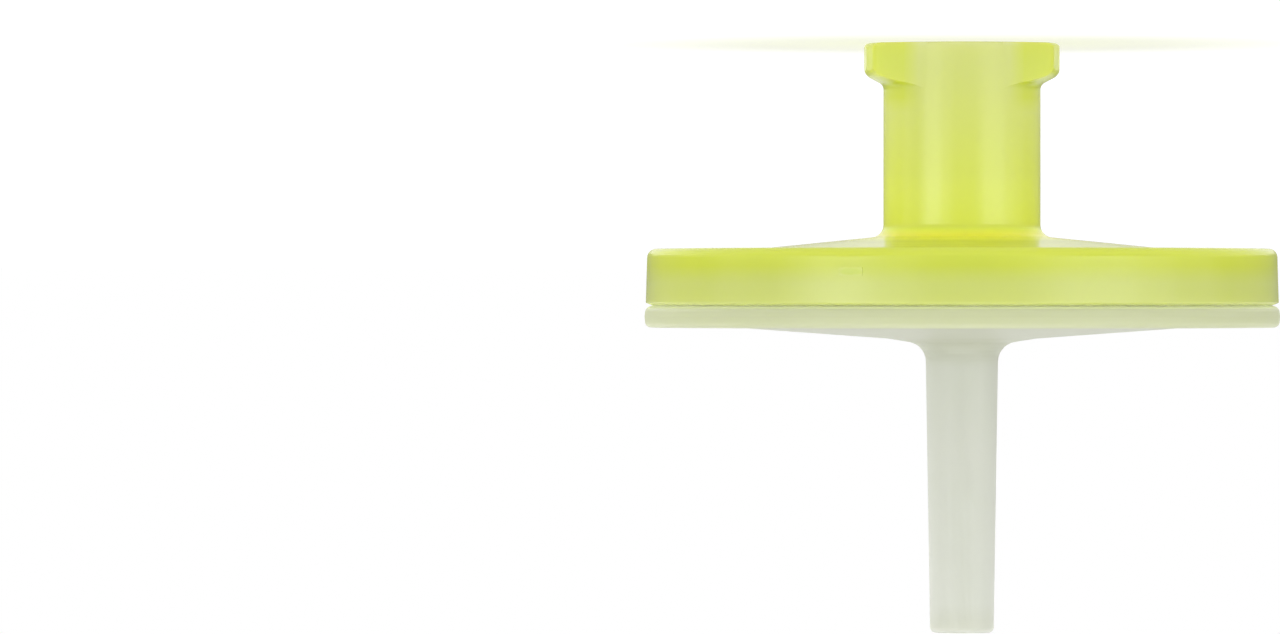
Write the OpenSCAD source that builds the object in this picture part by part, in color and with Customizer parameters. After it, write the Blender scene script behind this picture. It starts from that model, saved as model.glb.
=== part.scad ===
// Syringe filter: a 25 mm class disc filter that screws onto a luer-lock syringe.
// An inlet housing and an outlet housing are welded together with a membrane pinched between them.
//
// Units are millimetres. The origin is the centre of the inlet rim, and +Z runs along the axis in the
// direction of flow, from the luer-lock inlet to the outlet tip. The filter stands on its inlet rim.

/* [Luer-lock inlet] */
// Diameter of the tapered socket at its mouth
socket_mouth_d = 4.3; // [4:0.05:4.5]
// Depth of the tapered socket
socket_depth = 7.5; // [6:0.1:7.8]
// Taper of the socket, as diameter lost per unit of depth
luer_taper = 0.06; // [0.04:0.01:0.08]
// Outside diameter of the hub
hub_d = 6.26; // [5.8:0.02:6.8]
// Height of the inlet rim above the flat land of the disc
hub_h = 8.18; // [8:0.02:12]
// Distance across the two lugs
lug_span = 7.8; // [7.2:0.05:8.4]
// Height of a lug's outer wall
lug_wall_h = 1.25; // [0.8:0.05:2]
// Slope of a lug's underside, in degrees from the plane of the rim
lug_slope = 28; // [20:1:45]
// Angle that each side of a lug makes with the line across both lugs, in degrees
lug_side_angle = 29; // [20:1:40]
// Rounding of a lug's upright edges
lug_edge_r = 0.4; // [0.2:0.05:0.6]
// Rounding of a lug's outer edge at the rim
lug_rim_r = 0.2; // [0.05:0.05:0.3]
// Rounding between a lug's outer wall and its underside
lug_under_r = 0.45; // [0.1:0.05:0.6]
// Fillet between a lug's underside and the hub
lug_root_r = 0.3; // [0.1:0.05:0.4]
// Diameter of the hole from the socket into the disc
inlet_hole_d = 2.4; // [1:0.1:2.8]

/* [Inlet housing] */
// Diameter over the skirt, at its open end
body_d = 25.2; // [20:0.1:33]
// Height of the skirt, from the land to the joint between the housings
skirt_h = 2.26; // [2:0.02:3.4]
// Wall of the skirt
skirt_wall = 0.86; // [0.6:0.02:1.2]
// Draft of the skirt's outside, in degrees
skirt_draft = 1.6; // [0:0.1:3]
// Rounding between the land and the skirt
skirt_edge_r = 0.36; // [0.1:0.02:0.5]
// Thickness of the plate
plate_t = 1; // [0.7:0.05:1.2]
// Width of the flat land round the shallow cone that rises to the hub
land_w = 4.5; // [4:0.1:7]
// Rise of that cone over its whole width
crown_h = 0.5; // [0.2:0.02:0.8]
// Fillet between the cone and the hub
hub_fillet_r = 0.5; // [0.2:0.05:0.8]
// Width of the gate's scar on the skirt
gate_w = 0.95; // [0.5:0.05:1.5]
// Height of the gate's scar
gate_h = 0.34; // [0.2:0.02:0.6]
// How far the gate's scar stands out
gate_proud = 0.03; // [0.02:0.01:0.1]
// Height of the scar's middle above the land
gate_z = 0.94; // [0.6:0.02:1.2]
// Where the gate's scar is, in degrees round the axis
gate_angle = 292; // [0:1:359]

/* [Membrane] */
// Thickness of the membrane
membrane_t = 0.18; // [0.1:0.01:0.3]
// Width of the membrane's edge that the housings pinch
pinch_w = 0.75; // [0.4:0.05:1.2]
// Depth of the space over the membrane
chamber_h = 0.36; // [0.2:0.02:0.6]

/* [Outlet housing] */
// How far the flange stands out past the skirt
flange_proud = 0.05; // [0:0.01:0.2]
// Thickness of the flange
flange_h = 0.88; // [0.6:0.02:1.4]
// Side draft of the flange, each way from its parting line
flange_draft = 0.04; // [0.01:0.01:0.1]
// Radial width of the wall that stands up inside the skirt
wall_w = 1.58; // [1:0.02:1.8]
// Width of the flange's flat underside, round the shallow cone that drops to the boss
base_w = 3.6; // [3:0.1:6]
// Drop of that cone, from the flange down to the boss
base_h = 0.44; // [0.2:0.02:0.8]
// Diameter of the boss, where the cone turns steeper
boss_d = 5.9; // [5:0.1:7]
// Slope of the boss, in degrees
boss_slope = 9; // [5:0.5:15]

/* [Outlet tip] */
// Length of the tip, from the underside of the flange to its end
tip_l = 12.15; // [8:0.05:16]
// Diameter of the tip where it meets the boss
tip_root_d = 2.9; // [2.6:0.02:3.4]
// Diameter of the tip at its end
tip_end_d = 2.54; // [2.2:0.02:2.8]
// Fillet between the boss and the tip
tip_fillet_r = 0.8; // [0.4:0.05:1]
// Rounding of the tip's end
tip_edge_r = 0.2; // [0.05:0.05:0.3]
// Diameter of the outlet passage at the disc
bore_root_d = 1; // [0.8:0.05:1.3]
// Diameter of the outlet passage at the tip's end
bore_end_d = 1.3; // [1:0.05:1.5]

/* [Support shelf] */
// Depth of the channels that drain the membrane
channel_h = 0.35; // [0.2:0.01:0.6]
// Width of each channel
channel_w = 0.5; // [0.3:0.05:0.7]
// Number of radial channels, which lead to the well
radial_count = 8; // [4:1:12]
// Distance from one round channel to the next
round_pitch = 1.6; // [1:0.05:2]
// Diameter of the well over the outlet passage
well_d = 2.6; // [2:0.1:3]
// Depth of the well below the channels
well_h = 0.6; // [0.3:0.05:0.8]

/* [Fits] */
// Depth of the groove where the two housings meet
groove_d = 0.28; // [0.1:0.02:0.4]
// Height of that groove at its mouth
groove_h = 0.2; // [0.1:0.02:0.4]
// Radial clearance between the outlet housing's wall and the skirt
fit_gap = 0.04; // [0.02:0.01:0.1]
// Radial clearance round the membrane
membrane_gap = 0.05; // [0.02:0.01:0.15]
// Gap over the wall, which only the weld bead crosses
weld_gap = 0.06; // [0.03:0.01:0.12]
// Width of the weld bead
weld_w = 0.35; // [0.2:0.05:0.6]

/* [Hidden] */

$fn = 96;
arc_step = 12; // degrees from one point of a rounding to the next
small_edge_r = 0.12; // rounding of edges that are only broken
groove_edge_r = 0.06; // rounding of the skirt's lip at the groove
blend_r = 1; // rounding where a shallow cone meets a flat
hole_chamfer = 0.25; // on the inlet hole, where it opens into the disc
embed = 0.3; // how far a feature runs into the body that carries it

// Heights along the axis
land_z = hub_h;
plate_z = land_z + plate_t;
membrane_z = plate_z + chamber_h;
shelf_z = membrane_z + membrane_t;
channel_z = shelf_z + channel_h;
joint_z = land_z + skirt_h;
base_z = joint_z + flange_h;
boss_z = base_z + base_h;
end_z = base_z + tip_l;

// Radii, from the outside in, where each fit is one value plus its clearance
hub_r = hub_d / 2;
lug_r = lug_span / 2;
body_r = body_d / 2;
crown_r = body_r - land_w;
skirt_in_r = body_r - skirt_wall;
wall_r = skirt_in_r - fit_gap;
recess_r = wall_r - wall_w;
membrane_r = recess_r - membrane_gap;
pinch_r = membrane_r - pinch_w;
flange_r = body_r + flange_proud;
weld_r = (wall_r + recess_r) / 2;
base_r = flange_r - base_w;
boss_r = boss_d / 2;
well_r = well_d / 2;
hole_r = inlet_hole_d / 2;

// Slope of the inlet housing's shallow cone, as rise per unit of radius
crown_slope = crown_h / (crown_r - hub_r);

// Points on an arc round centre c, from angle a to angle b
function arc(c, r, a, b) =
    let (steps = max(1, ceil(abs(b - a) / arc_step)))
    [for (i = [0 : steps]) let (t = a + (b - a) * i / steps) c + r * [cos(t), sin(t)]];

// Unit vector from p to q
function towards(p, q) = (q - p) / norm(q - p);

// The arc of radius r that rounds corner p between its neighbours before and after
function corner(before, p, after, r) =
    let (
        u = towards(p, before),
        v = towards(p, after),
        half = acos(u * v) / 2,
        c = p + r / sin(half) * (u + v) / norm(u + v),
        start = p + r / tan(half) * u - c,
        finish = p + r / tan(half) * v - c,
        a = atan2(start.y, start.x),
        turn = (atan2(finish.y, finish.x) - a + 540) % 360 - 180
    )
    arc(c, r, a, a + turn);

// An outline given as [x, y, rounding], with each corner rounded
function rounded(outline) =
    let (n = len(outline), flat = [for (p = outline) [p.x, p.y]])
    [for (i = [0 : n - 1])
        each outline[i][2] == 0
            ? [flat[i]]
            : corner(flat[(i + n - 1) % n], flat[i], flat[(i + 1) % n], outline[i][2])];

// Outline of one lug in plan, about +X: its sides are tangent to the hub
function lug_plan() =
    let (
        side = 90 - lug_side_angle,
        turn = side - acos((hub_r - lug_edge_r) / (lug_r - lug_edge_r)),
        c = (lug_r - lug_edge_r) * [cos(turn), sin(turn)]
    )
    concat(
        [hub_r * [cos(side), sin(side)], [0, 0], hub_r * [cos(side), -sin(side)]],
        arc([c.x, -c.y], lug_edge_r, -side, -turn),
        arc([0, 0], lug_r, -turn, turn),
        arc(c, lug_edge_r, turn, side)
    );

// Both lugs: a flanged ring with a sloping underside, cut to the two plan outlines
module lugs() {
    root_z = lug_wall_h + (lug_r - hub_r) * tan(lug_slope);
    intersection() {
        rotate_extrude()
            polygon(rounded([
                [hub_r - embed, 0, 0],
                [lug_r, 0, lug_rim_r],
                [lug_r, lug_wall_h, lug_under_r],
                [hub_r, root_z, lug_root_r],
                [hub_r, root_z + embed, 0],
                [hub_r - embed, root_z + embed, 0],
            ]));
        for (turn = [0, 180])
            rotate(turn)
                linear_extrude(root_z + embed)
                    polygon(lug_plan());
    }
}

// The scar that the mould's gate leaves on the skirt
module gate_scar() {
    skirt_r = body_r - (skirt_h - gate_z) * tan(skirt_draft);
    translate([0, 0, land_z + gate_z - gate_h / 2])
        intersection() {
            cylinder(r = skirt_r + gate_proud, h = gate_h);
            rotate(gate_angle)
                translate([skirt_r - embed, -gate_w / 2, 0])
                    cube([embed + 2 * gate_proud, gate_w, gate_h]);
        }
}

// Luer-lock hub, plate and skirt, moulded in one piece
module inlet_housing() {
    floor_r = (socket_mouth_d - luer_taper * socket_depth) / 2;
    hole_mouth_r = hole_r + hole_chamfer;
    hole_mouth_z = plate_z - (crown_r - hole_mouth_r) * crown_slope;
    color("#dcea6a")
        union() {
            rotate_extrude()
                polygon(rounded([
                    [socket_mouth_d / 2, 0, small_edge_r],
                    [hub_r, 0, small_edge_r],
                    [hub_r, land_z - crown_h, hub_fillet_r],
                    [crown_r, land_z, blend_r],
                    [body_r - skirt_h * tan(skirt_draft), land_z, skirt_edge_r],
                    [body_r, joint_z - groove_h / 2, groove_edge_r],
                    [body_r - groove_d, joint_z, 0],
                    [skirt_in_r, joint_z, small_edge_r],
                    [skirt_in_r, plate_z, small_edge_r],
                    [membrane_r, plate_z, small_edge_r],
                    [membrane_r, membrane_z, small_edge_r],
                    [pinch_r, membrane_z, small_edge_r],
                    [pinch_r, plate_z, small_edge_r],
                    [crown_r, plate_z, 0],
                    [hole_mouth_r, hole_mouth_z, 0],
                    [hole_r, hole_mouth_z - hole_chamfer, 0],
                    [hole_r, socket_depth, 0],
                    [floor_r, socket_depth, 2 * small_edge_r],
                ]));
            lugs();
            gate_scar();
        }
}

// The filter disc, whose edge the two housings pinch
module membrane() {
    color("white")
        translate([0, 0, membrane_z])
            cylinder(r = membrane_r, h = membrane_t);
}

// Channels in the shelf that holds the membrane up: round ones, and radial ones that lead to the well
module channels() {
    round_count = floor((pinch_r - well_r - channel_w) / round_pitch);
    for (i = [0 : radial_count - 1])
        rotate(i * 360 / radial_count)
            translate([0, -channel_w / 2, shelf_z - embed])
                cube([pinch_r, channel_w, channel_h + embed]);
    for (i = [1 : 1 : round_count])
        rotate_extrude()
            translate([pinch_r - i * round_pitch, shelf_z - embed])
                square([channel_w, channel_h + embed]);
}

// Flange, weld wall, support shelf and outlet tip, moulded in one piece
module outlet_housing() {
    tip_top_z = boss_z + (boss_r - tip_root_d / 2) * tan(boss_slope);
    color("#e6e9d6")
        difference() {
            rotate_extrude()
                polygon(rounded([
                    [recess_r, shelf_z, 0],
                    [recess_r, plate_z + weld_gap, small_edge_r],
                    [weld_r - weld_w / 2, plate_z + weld_gap, 0],
                    [weld_r - weld_w / 2, plate_z, 0],
                    [weld_r + weld_w / 2, plate_z, 0],
                    [weld_r + weld_w / 2, plate_z + weld_gap, 0],
                    [wall_r, plate_z + weld_gap, 2 * small_edge_r],
                    [wall_r, joint_z, 0],
                    [body_r - groove_d, joint_z, 0],
                    [flange_r - flange_draft, joint_z + groove_h / 2, 2 * small_edge_r],
                    [flange_r, (joint_z + base_z) / 2, 0],
                    [flange_r - flange_draft, base_z, 2 * small_edge_r],
                    [base_r, base_z, blend_r],
                    [boss_r, boss_z, blend_r],
                    [tip_root_d / 2, tip_top_z, tip_fillet_r],
                    [tip_end_d / 2, end_z, tip_edge_r],
                    [bore_end_d / 2, end_z, small_edge_r],
                    [bore_root_d / 2, channel_z + well_h, 0],
                    [well_r, channel_z, 0],
                    [well_r, shelf_z, 0],
                ]));
            channels();
        }
}

inlet_housing();
membrane();
outlet_housing();
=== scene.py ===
import math

import bpy
from mathutils import Matrix, Vector


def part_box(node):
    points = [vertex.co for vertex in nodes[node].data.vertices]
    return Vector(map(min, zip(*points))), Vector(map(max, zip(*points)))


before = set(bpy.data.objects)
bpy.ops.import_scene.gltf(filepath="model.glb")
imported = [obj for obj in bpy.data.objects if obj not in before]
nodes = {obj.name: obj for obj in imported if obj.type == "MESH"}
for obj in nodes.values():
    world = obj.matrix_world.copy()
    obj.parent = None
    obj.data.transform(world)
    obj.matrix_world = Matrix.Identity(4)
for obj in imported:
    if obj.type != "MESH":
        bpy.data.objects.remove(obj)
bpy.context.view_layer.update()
scene = bpy.context.scene

# ------------------------------------------------ places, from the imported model, in metres

housing_lo, housing_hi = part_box("inlet_housing")
outlet_lo, outlet_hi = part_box("outlet_housing")
membrane_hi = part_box("membrane")[1]

# along the axis, from the rim that the filter stands on
RIM_Z = housing_lo.z
SOCKET_Z = RIM_Z + 0.0075  # floor of the socket, beyond which the hub is solid
PLATE_Z = outlet_lo.z  # inner face of the plate, which the weld bead meets
HUB_Z = PLATE_Z - 0.0015  # where the hub meets the plate
JOINT_Z = housing_hi.z  # the joint between the housings, with a groove round it
BASE_Z = JOINT_Z + 0.00088  # outer face of the flange
TIP_Z = outlet_hi.z  # end of the outlet tip

# out from the axis
HUB_R = 0.00315  # outer face of the hub's wall
RECESS_R = membrane_hi.x + 0.00005  # inner face of the outlet housing's wall
WALL_R = RECESS_R + 0.00158  # its outer face
BODY_R = housing_hi.x  # side of the skirt
FLANGE_R = outlet_hi.x  # side of the flange

SCAR = (0.00472, -0.01168, HUB_Z + 0.00144)  # middle of the gate's scar on the skirt
SCAR_HALF = (0.00048, 0.00060, 0.00013)  # half its size each way

# ------------------------------------------------ camera

DISTANCE = 0.350
LENS = 247.0
SENSOR = 36.0
AXIS_OFF = 0.01283  # the filter stands to the right of the picture's middle
EYE_Z = 0.0100
AIM_Z = 0.0109  # height of the picture's middle, at the filter
CLIP_NEAR, CLIP_FAR = 0.01, 20.0

cam_data = bpy.data.cameras.new("camera")
cam_data.sensor_fit = "HORIZONTAL"
cam_data.sensor_width = SENSOR
cam_data.lens = LENS
cam_data.clip_start = CLIP_NEAR
cam_data.clip_end = CLIP_FAR
cam = bpy.data.objects.new("camera", cam_data)
scene.collection.objects.link(cam)
# looks along +Y and is turned over, so that the inlet is at the top of the picture
level = Matrix((
    (-1, 0, 0, AXIS_OFF),
    (0, 0, -1, -DISTANCE),
    (0, -1, 0, EYE_Z),
    (0, 0, 0, 1),
))
cam.matrix_world = level @ Matrix.Rotation(-math.atan2(AIM_Z - EYE_Z, DISTANCE), 4, "X")
scene.camera = cam

# ------------------------------------------------ helpers for node trees


def link(tree, a, b):
    tree.links.new(a, b)


def node(tree, kind, **inputs):
    n = tree.nodes.new(kind)
    for key, value in inputs.items():
        n.inputs[key].default_value = value
    return n


def new_material(name):
    mat = bpy.data.materials.new(name)
    mat.use_nodes = True
    tree = mat.node_tree
    tree.nodes.clear()
    out = tree.nodes.new("ShaderNodeOutputMaterial")
    return mat, tree, out


def ramp(tree, source, span, to):
    """source mapped from span to the pair to, and held at both ends."""
    m = tree.nodes.new("ShaderNodeMapRange")
    m.inputs["From Min"].default_value, m.inputs["From Max"].default_value = span
    m.inputs["To Min"].default_value, m.inputs["To Max"].default_value = to
    link(tree, source, m.inputs["Value"])
    return m.outputs["Result"]


def rise(tree, source, span):
    """0 before the span and 1 after it."""
    return ramp(tree, source, span, (0, 1))


def fall(tree, source, span):
    """1 before the span and 0 after it."""
    return ramp(tree, source, span, (1, 0))


def blend(tree, factor, a, b):
    """Colour a where factor is 0 and colour b where it is 1; each is a tuple or a socket."""
    mix = tree.nodes.new("ShaderNodeMix")
    mix.data_type = "RGBA"
    for key, value in (("A", a), ("B", b)):
        if isinstance(value, tuple):
            mix.inputs[key].default_value = (*value, 1)
        else:
            link(tree, value, mix.inputs[key])
    link(tree, factor, mix.inputs["Factor"])
    return mix.outputs["Result"]


def combine(tree, operation, a, b):
    m = tree.nodes.new("ShaderNodeMath")
    m.operation = operation
    link(tree, a, m.inputs[0])
    link(tree, b, m.inputs[1])
    return m.outputs[0]


def vector_math(tree, operation, a, b=None):
    """The operation on socket a and, where it takes two, on the fixed vector b."""
    m = tree.nodes.new("ShaderNodeVectorMath")
    m.operation = operation
    link(tree, a, m.inputs[0])
    if b is not None:
        m.inputs[1].default_value = b
    return m.outputs["Value" if operation == "LENGTH" else "Vector"]


def noise(tree, where, scale, detail, roughness=0.5):
    n = node(tree, "ShaderNodeTexNoise", Scale=scale, Detail=detail, Roughness=roughness)
    link(tree, where, n.inputs["Vector"])
    return n.outputs["Fac"]


def bump(tree, height, strength, distance):
    b = node(tree, "ShaderNodeBump", Strength=strength, Distance=distance)
    link(tree, height, b.inputs["Height"])
    return b.outputs["Normal"]


def shown_rays(tree):
    """1 on a camera, glossy or transmission ray, and 0 on a ray that lights the object."""
    path = tree.nodes.new("ShaderNodeLightPath")
    total = path.outputs["Is Camera Ray"]
    for name in ("Is Glossy Ray", "Is Transmission Ray"):
        total = combine(tree, "MAXIMUM", total, path.outputs[name])
    return total


# ------------------------------------------------ light and surroundings

AMBIENT = 0.44  # the world's light on the object
BACKDROP = 1.0  # the world as the camera sees it: white

world = bpy.data.worlds.new("studio")
scene.world = world
world.use_nodes = True
wt = world.node_tree
wt.nodes.clear()
w_out = wt.nodes.new("ShaderNodeOutputWorld")
ambient = node(wt, "ShaderNodeBackground", Color=(1, 1, 1, 1), Strength=AMBIENT)
white = node(wt, "ShaderNodeBackground", Color=(1, 1, 1, 1), Strength=BACKDROP)
w_mix = wt.nodes.new("ShaderNodeMixShader")
link(wt, shown_rays(wt), w_mix.inputs[0])
link(wt, ambient.outputs[0], w_mix.inputs[1])
link(wt, white.outputs[0], w_mix.inputs[2])
link(wt, w_mix.outputs[0], w_out.inputs["Surface"])


def softbox(name, azimuth, distance, width, height, radiance):
    """A lamp that stands on the floor and faces the axis."""
    a = math.radians(azimuth)
    away = Vector((math.sin(a), -math.cos(a), 0))
    lamp = bpy.data.lights.new(name, "AREA")
    lamp.shape = "RECTANGLE"
    lamp.size, lamp.size_y = width, height
    lamp.energy = radiance * math.pi * width * height
    ob = bpy.data.objects.new(name, lamp)
    scene.collection.objects.link(ob)
    ob.rotation_mode = "QUATERNION"
    ob.rotation_quaternion = away.to_track_quat("Z", "Y")
    ob.location = away * distance + Vector((0, 0, RIM_Z + height / 2))
    ob.visible_camera = False
    return ob


# Name, azimuth in degrees (0 is on the camera's side and 90 is on +X), distance from the
# axis, width, height, radiance. Each side has one wide lamp, and a brighter one before its
# middle, so that their mirror image fades at the sides.
SOFTBOXES = (
    ("softbox_left", 42, 0.145, 0.130, 0.045, 1.9),
    ("softbox_left_middle", 44, 0.144, 0.060, 0.045, 2.8),
    ("softbox_right", -49, 0.145, 0.165, 0.045, 1.5),
    ("softbox_right_middle", -46, 0.144, 0.085, 0.045, 2.1),
)
# These fill the left side and the back, and don't show in the plastic.
FILLS = (
    ("fill_left", 132, 0.250, 0.100, 0.060, 11.0),
    ("fill_back", 217, 0.300, 0.200, 0.120, 2.7),
)
for row in SOFTBOXES:
    softbox(*row)
for row in FILLS:
    fill = softbox(*row)
    fill.visible_glossy = False
    fill.visible_transmission = False

# a broad, even light from above, which also lights the far floor
SUN_STRENGTH = 1.38
SUN_SPREAD = math.radians(60)
SUN_TILT = math.radians(12)

overhead = bpy.data.lights.new("overhead", "SUN")
overhead.energy = SUN_STRENGTH
overhead.angle = SUN_SPREAD
overhead_ob = bpy.data.objects.new("overhead", overhead)
scene.collection.objects.link(overhead_ob)
overhead_ob.rotation_euler = (SUN_TILT, 0, 0)

# ------------------------------------------------ tints: base colours, linear

YELLOW = (0.57, 0.63, 0.069)
YELLOW_SHADE = (0.555, 0.62, 0.064)
# painted light: the plate's face, which faces the floor, made lighter
YELLOW_FACE_PAINTED_LIGHT = (0.60, 0.65, 0.066)
YELLOW_RING = (0.52, 0.57, 0.15)
YELLOW_SCAR = (0.50, 0.585, 0.050)
# painted light: the hub's rim and wall lighter than the plate, as light through the thin wall
YELLOW_RIM_PAINTED_LIGHT = (0.70, 0.74, 0.29)
YELLOW_HUB_PAINTED_LIGHT = (0.685, 0.74, 0.142)
# painted light: the hub's foot made lighter against the shade under the plate
YELLOW_FOOT_PAINTED_LIGHT = (0.75, 0.81, 0.110)
# the solid hub: deeper yellow of the thicker plastic, and painted light against the shade in its
# corner with the plate
YELLOW_SOLID_PAINTED_LIGHT = (0.865, 0.985, 0.08)
# painted light: the plate's slope by the hub, lifted out of the hub's contact shade
YELLOW_SLOPE_PAINTED_LIGHT = (0.97, 1.0, 0.10)
YELLOW_LUG = (0.67, 0.73, 0.105)
YELLOW_BACKED = (0.575, 0.635, 0.165)
# painted light: the groove and its lips made pale, against the shade in the gap
YELLOW_LIP_PAINTED_LIGHT = (0.71, 0.78, 0.23)
YELLOW_GROOVE_PAINTED_LIGHT = (0.88, 0.98, 0.46)
NATURAL = (0.655, 0.668, 0.60)
NATURAL_SHADE = (0.64, 0.658, 0.585)
# painted shade: the flange's face and the cone darker
NATURAL_BASE_PAINTED_SHADE = (0.568, 0.588, 0.455)
# painted shade: the tip's end darker, where the overhead light falls on it
NATURAL_END_PAINTED_SHADE = (0.585, 0.60, 0.51)
# painted light: yellow light carried from the skirt into the flange
NATURAL_WARM_PAINTED_LIGHT = (0.54, 0.57, 0.355)
# painted light: the groove and its lips made pale, against the shade in the gap
NATURAL_LIP_PAINTED_LIGHT = (0.71, 0.75, 0.46)
NATURAL_GROOVE_PAINTED_LIGHT = (0.92, 1.0, 0.68)
MEMBRANE = (0.88, 0.88, 0.86)

# Spans over which one tint passes into the next, along the axis (Z), out from it (R) or
# from it towards the lugs (X).
FACE_R = (FLANGE_R - 0.0010, FLANGE_R - 0.0005)  # from the plate's face to the skirt's side; the face is painted lighter, as painted light where it faces the floor
WALL_Z = (RIM_Z, RIM_Z + 0.0050)  # the hub's wall, which deepens from the rim on; rim and wall are paler where the hollow socket lies behind, and painted lighter as light through the thin wall
# the hub's foot, painted lighter against the shade under the plate
FOOT_Z = (RIM_Z + 0.0052, SOCKET_Z - 0.0005)
# the solid hub beyond the socket: deeper yellow, and painted bright against the shade in its
# corner with the plate
SOLID_Z = (SOCKET_Z - 0.0002, SOCKET_Z + 0.0001)
LUG_X = (0.0018, 0.0024)
LUG_R = (HUB_R + 0.0001, HUB_R + 0.0004)
LUG_Z = (RIM_Z + 0.0022, RIM_Z + 0.0028)
SLOPE_R = (HUB_R + 0.0006, HUB_R + 0.0022)  # the plate's slope up to the hub, painted light against the shade at the hub's foot
HUB_END_Z = (HUB_Z - 0.0003, HUB_Z)
RING_IN_R = (RECESS_R, RECESS_R + 0.0002)  # the pale ring, where the wall lies behind
RING_OUT_R = (WALL_R, WALL_R + 0.0002)
SKIRT_Z = (PLATE_Z - 0.0003, PLATE_Z + 0.0004)
SCAR_EDGE = (0.7, 1.2)  # in parts of the scar's half size
BASE_END_Z = (BASE_Z + 0.0006, BASE_Z + 0.0016)  # painted shade on the flange and the cone, fading from the flange to the tip
# painted shade on the tip's end
TIP_END_Z = (TIP_Z - 0.0012, TIP_Z - 0.0001)
WARM_FACE_R = (RECESS_R, FLANGE_R - 0.0004)  # the flange's face warms slowly outwards, as painted light carried from the skirt
WARM_FACE = 0.3
WARM_SIDE_R = (FLANGE_R - 0.0004, FLANGE_R - 0.0001)
GROOVE_R = (BODY_R - 0.00021, BODY_R - 0.00009)  # inside the groove, and on its lips: painted light against the groove's shade, and painted highlights on the lips
YELLOW_LIP_Z = (JOINT_Z - 0.00012, JOINT_Z - 0.00007)
NATURAL_LIP_Z = (JOINT_Z + 0.00008, JOINT_Z + 0.00014)

# noise scales
CLOUD_SCALE = 260.0
POLISH_SCALE = 900.0
SKIN_SCALE = 2600.0
PORE_SCALE = 6000.0


def places(tree, where):
    """The distances along the filter's axis, out from it, and from it towards the lugs."""
    split = tree.nodes.new("ShaderNodeSeparateXYZ")
    link(tree, where, split.inputs[0])
    flat = tree.nodes.new("ShaderNodeCombineXYZ")
    for axis in ("X", "Y"):
        link(tree, split.outputs[axis], flat.inputs[axis])
    aside = tree.nodes.new("ShaderNodeMath")
    aside.operation = "ABSOLUTE"
    link(tree, split.outputs["X"], aside.inputs[0])
    return split.outputs["Z"], vector_math(tree, "LENGTH", flat.outputs[0]), aside.outputs[0]


def clouds(tree, where):
    """0 to 1, changing slowly, as the mix of pigment does in a moulding."""
    return rise(tree, noise(tree, where, CLOUD_SCALE, 3.0), (0.35, 0.65))


def yellow_tint(tree, where):
    """Yellow-green, paler where the undyed housing lies behind: the skirt and a ring. The hub,
    its foot, the plate's face and slope, and the groove's lips carry painted light.
    """
    z, r, aside = places(tree, where)
    base = blend(tree, clouds(tree, where), YELLOW, YELLOW_SHADE)
    # painted light: the plate's face made lighter than the skirt's side
    base = blend(tree, fall(tree, r, FACE_R), base, YELLOW_FACE_PAINTED_LIGHT)

    # painted light: the hub's rim and wall, lighter than the plate, as light through the thin
    # wall
    hub = blend(tree, rise(tree, z, WALL_Z), YELLOW_RIM_PAINTED_LIGHT, YELLOW_HUB_PAINTED_LIGHT)
    # painted light on the hub's foot, against the shade under the plate
    hub = blend(tree, rise(tree, z, FOOT_Z), hub, YELLOW_FOOT_PAINTED_LIGHT)
    # the solid hub: real deeper yellow, with painted light against the corner's shade
    hub = blend(tree, rise(tree, z, SOLID_Z), hub, YELLOW_SOLID_PAINTED_LIGHT)
    beside = combine(tree, "MAXIMUM", rise(tree, aside, LUG_X), rise(tree, r, LUG_R))
    lug = combine(tree, "MULTIPLY", beside, fall(tree, z, LUG_Z))
    hub = blend(tree, lug, hub, YELLOW_LUG)
    # painted light on the plate's slope, against the hub's contact shade
    base = blend(tree, fall(tree, r, SLOPE_R), base, YELLOW_SLOPE_PAINTED_LIGHT)
    base = blend(tree, fall(tree, z, HUB_END_Z), base, hub)

    ring = combine(tree, "MULTIPLY", rise(tree, r, RING_IN_R), fall(tree, r, RING_OUT_R))
    base = blend(tree, ring, base, YELLOW_RING)
    base = blend(tree, rise(tree, z, SKIRT_Z), base, YELLOW_BACKED)

    spread = vector_math(tree, "DIVIDE", vector_math(tree, "SUBTRACT", where, SCAR), SCAR_HALF)
    reach = vector_math(tree, "LENGTH", spread)
    base = blend(tree, fall(tree, reach, SCAR_EDGE), base, YELLOW_SCAR)

    # painted light in the groove and painted highlights on its lips
    lip = blend(tree, fall(tree, r, GROOVE_R), YELLOW_LIP_PAINTED_LIGHT, YELLOW_GROOVE_PAINTED_LIGHT)
    return blend(tree, rise(tree, z, YELLOW_LIP_Z), base, lip)


def natural_tint(tree, where):
    """Undyed, and yellower on the flange's side, as painted light carried from the skirt. Painted
    shade darkens the flange's face, the cone and the tip's end; painted light fills the groove
    and its lips.
    """
    z, r, _ = places(tree, where)
    base = blend(tree, clouds(tree, where), NATURAL, NATURAL_SHADE)
    # painted shade on the flange's face and the cone
    base = blend(tree, fall(tree, z, BASE_END_Z), base, NATURAL_BASE_PAINTED_SHADE)
    # painted shade on the tip's end, which faces the overhead light
    base = blend(tree, rise(tree, z, TIP_END_Z), base, NATURAL_END_PAINTED_SHADE)
    # painted light: the flange's face and side yellower, as light carried from the skirt
    base = blend(tree, ramp(tree, r, WARM_FACE_R, (0, WARM_FACE)), base, NATURAL_WARM_PAINTED_LIGHT)
    base = blend(tree, rise(tree, r, WARM_SIDE_R), base, NATURAL_WARM_PAINTED_LIGHT)

    # painted light in the groove and painted highlights on its lips
    lip = blend(tree, fall(tree, r, GROOVE_R), NATURAL_LIP_PAINTED_LIGHT, NATURAL_GROOVE_PAINTED_LIGHT)
    return blend(tree, fall(tree, z, NATURAL_LIP_Z), base, lip)


# ------------------------------------------------ materials

PLASTIC_IOR = 1.49
SPECULAR_LEVEL = 0.4
SCATTER = 0.0012  # how far light spreads inside the plastic
GLOSS_SPREAD = 0.02  # how far the roughness varies each way


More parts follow.
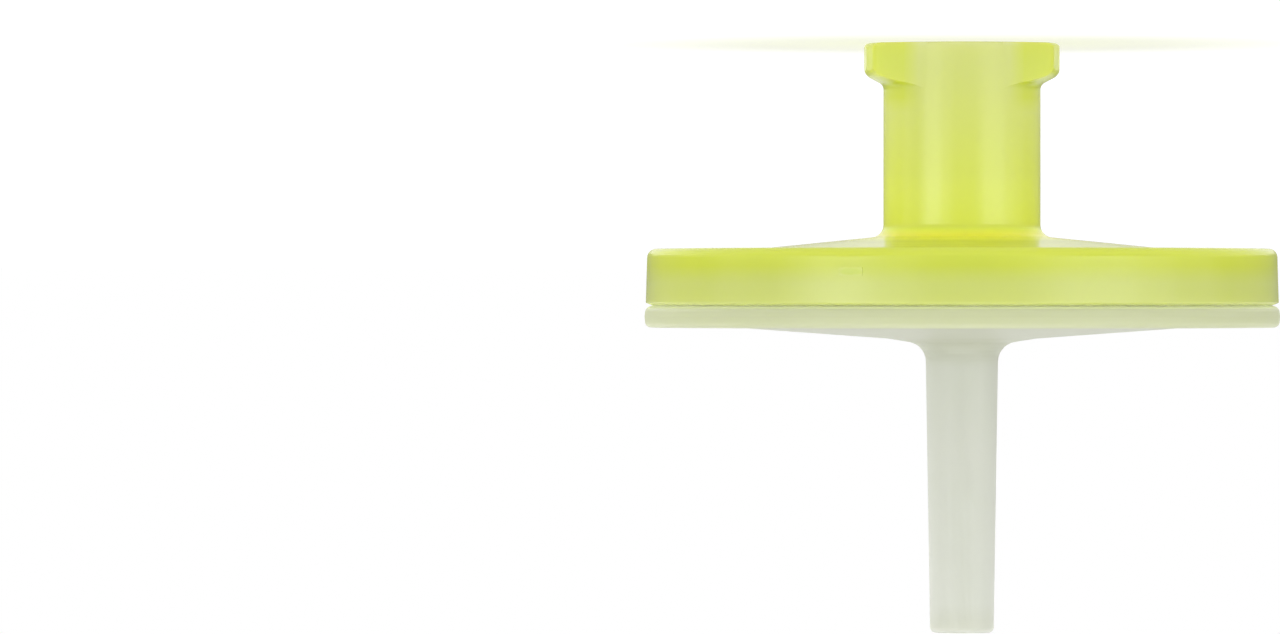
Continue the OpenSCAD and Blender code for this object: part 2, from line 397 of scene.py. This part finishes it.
def moulded(name, tint, transmission, roughness, absorb, density):
    """Translucent moulded polypropylene, whose base colour is made by tint(tree, where)."""
    mat, tree, out = new_material(name)
    p = node(tree, "ShaderNodeBsdfPrincipled", **{
        "IOR": PLASTIC_IOR,
        "Specular IOR Level": SPECULAR_LEVEL,
        "Subsurface Weight": 1.0,
        "Subsurface Radius": (1.0, 1.0, 1.0),
        "Subsurface Scale": SCATTER,
    })
    link(tree, p.outputs["BSDF"], out.inputs["Surface"])
    # from inside the surface is clear, so that light that has got in passes out again
    inner = tree.nodes.new("ShaderNodeNewGeometry").outputs["Backfacing"]
    link(tree, ramp(tree, inner, (0, 1), (transmission, 1)), p.inputs["Transmission Weight"])
    where = tree.nodes.new("ShaderNodeTexCoord").outputs["Object"]
    link(tree, tint(tree, where), p.inputs["Base Color"])

    polish = noise(tree, where, POLISH_SCALE, 4.0, 0.6)
    gloss = ramp(tree, polish, (0.3, 0.7), (roughness - GLOSS_SPREAD, roughness + GLOSS_SPREAD))
    link(tree, gloss, p.inputs["Roughness"])
    skin = noise(tree, where, SKIN_SCALE, 3.0, 0.55)
    link(tree, bump(tree, skin, 0.06, 0.00004), p.inputs["Normal"])

    inside = node(tree, "ShaderNodeVolumeAbsorption", Color=(*absorb, 1), Density=density)
    link(tree, inside.outputs["Volume"], out.inputs["Volume"])
    return mat


def film(name):
    """White microporous membrane."""
    mat, tree, out = new_material(name)
    p = node(tree, "ShaderNodeBsdfPrincipled", **{"Base Color": (*MEMBRANE, 1), "Roughness": 0.8})
    link(tree, p.outputs["BSDF"], out.inputs["Surface"])
    where = tree.nodes.new("ShaderNodeTexCoord").outputs["Object"]
    pores = noise(tree, where, PORE_SCALE, 3.0)
    link(tree, bump(tree, pores, 0.3, 0.00002), p.inputs["Normal"])
    return mat


yellow = moulded(
    "yellow_polypropylene", yellow_tint, transmission=0.05, roughness=0.2,
    absorb=(0.97, 0.995, 0.2), density=150.0,
)
natural = moulded(
    "natural_polypropylene", natural_tint, transmission=0.08, roughness=0.48,
    absorb=(0.95, 0.97, 0.8), density=40.0,
)
paper = film("membrane_film")
for name, mat in (("inlet_housing", yellow), ("outlet_housing", natural), ("membrane", paper)):
    nodes[name].material_slots[0].material = mat

# ------------------------------------------------ floor

FLOOR_HALF = 3.0
FLOOR_GREY = 0.50
FLOOR_LIGHT = 0.48  # its own glow, as it lights the object
FLOOR_SHOWN = 0.62  # its own glow, as the camera sees it


def plane(name, corners, mat):
    """A plane of four corners, which lies or stands at the level of the rim."""
    mesh = bpy.data.meshes.new(name)
    mesh.from_pydata(corners, [], [(0, 1, 2, 3)])
    mesh.materials.append(mat)
    ob = bpy.data.objects.new(name, mesh)
    ob.location.z = RIM_Z
    scene.collection.objects.link(ob)
    return ob


floor_mat, ft, f_out = new_material("floor")
f_diffuse = node(ft, "ShaderNodeBsdfDiffuse", Color=(FLOOR_GREY, FLOOR_GREY, FLOOR_GREY, 1))
f_glow = node(ft, "ShaderNodeEmission", Color=(1, 1, 1, 1))
link(ft, ramp(ft, shown_rays(ft), (0, 1), (FLOOR_LIGHT, FLOOR_SHOWN)), f_glow.inputs["Strength"])
f_add = ft.nodes.new("ShaderNodeAddShader")
link(ft, f_diffuse.outputs[0], f_add.inputs[0])
link(ft, f_glow.outputs[0], f_add.inputs[1])
link(ft, f_add.outputs[0], f_out.inputs["Surface"])
floor = plane("floor", [
    (-FLOOR_HALF, -FLOOR_HALF, 0), (FLOOR_HALF, -FLOOR_HALF, 0),
    (FLOOR_HALF, FLOOR_HALF, 0), (-FLOOR_HALF, FLOOR_HALF, 0),
], floor_mat)

# ------------------------------------------------ cards behind the filter

# They show only in the plastic's reflections, and the right one also shades it a little.
# Name, the two ends of the foot (x, y), height, shader, grey, whether it shades.
CARDS = (
    ("card_left", (0.015, 0.085), (0.090, 0.010), 0.022, "ShaderNodeBsdfDiffuse", 0.30, False),
    ("card_right", (-0.015, 0.085), (-0.090, 0.010), 0.022, "ShaderNodeBsdfDiffuse", 0.30, True),
    ("card_back", (-0.014, 0.060), (0.014, 0.060), 0.0085, "ShaderNodeEmission", 0.50, False),
)
for name, one, other, height, shader, grey, shades in CARDS:
    card_mat, ct, c_out = new_material(name)
    surface = node(ct, shader, Color=(grey, grey, grey, 1))
    link(ct, surface.outputs[0], c_out.inputs["Surface"])
    corners = [(*one, 0), (*other, 0), (*other, height), (*one, height)]
    card = plane(name, corners, card_mat)
    card.visible_diffuse = shades
    card.visible_camera = card.visible_transmission = card.visible_shadow = False

# ------------------------------------------------ colour management

scene.view_settings.view_transform = "Standard"
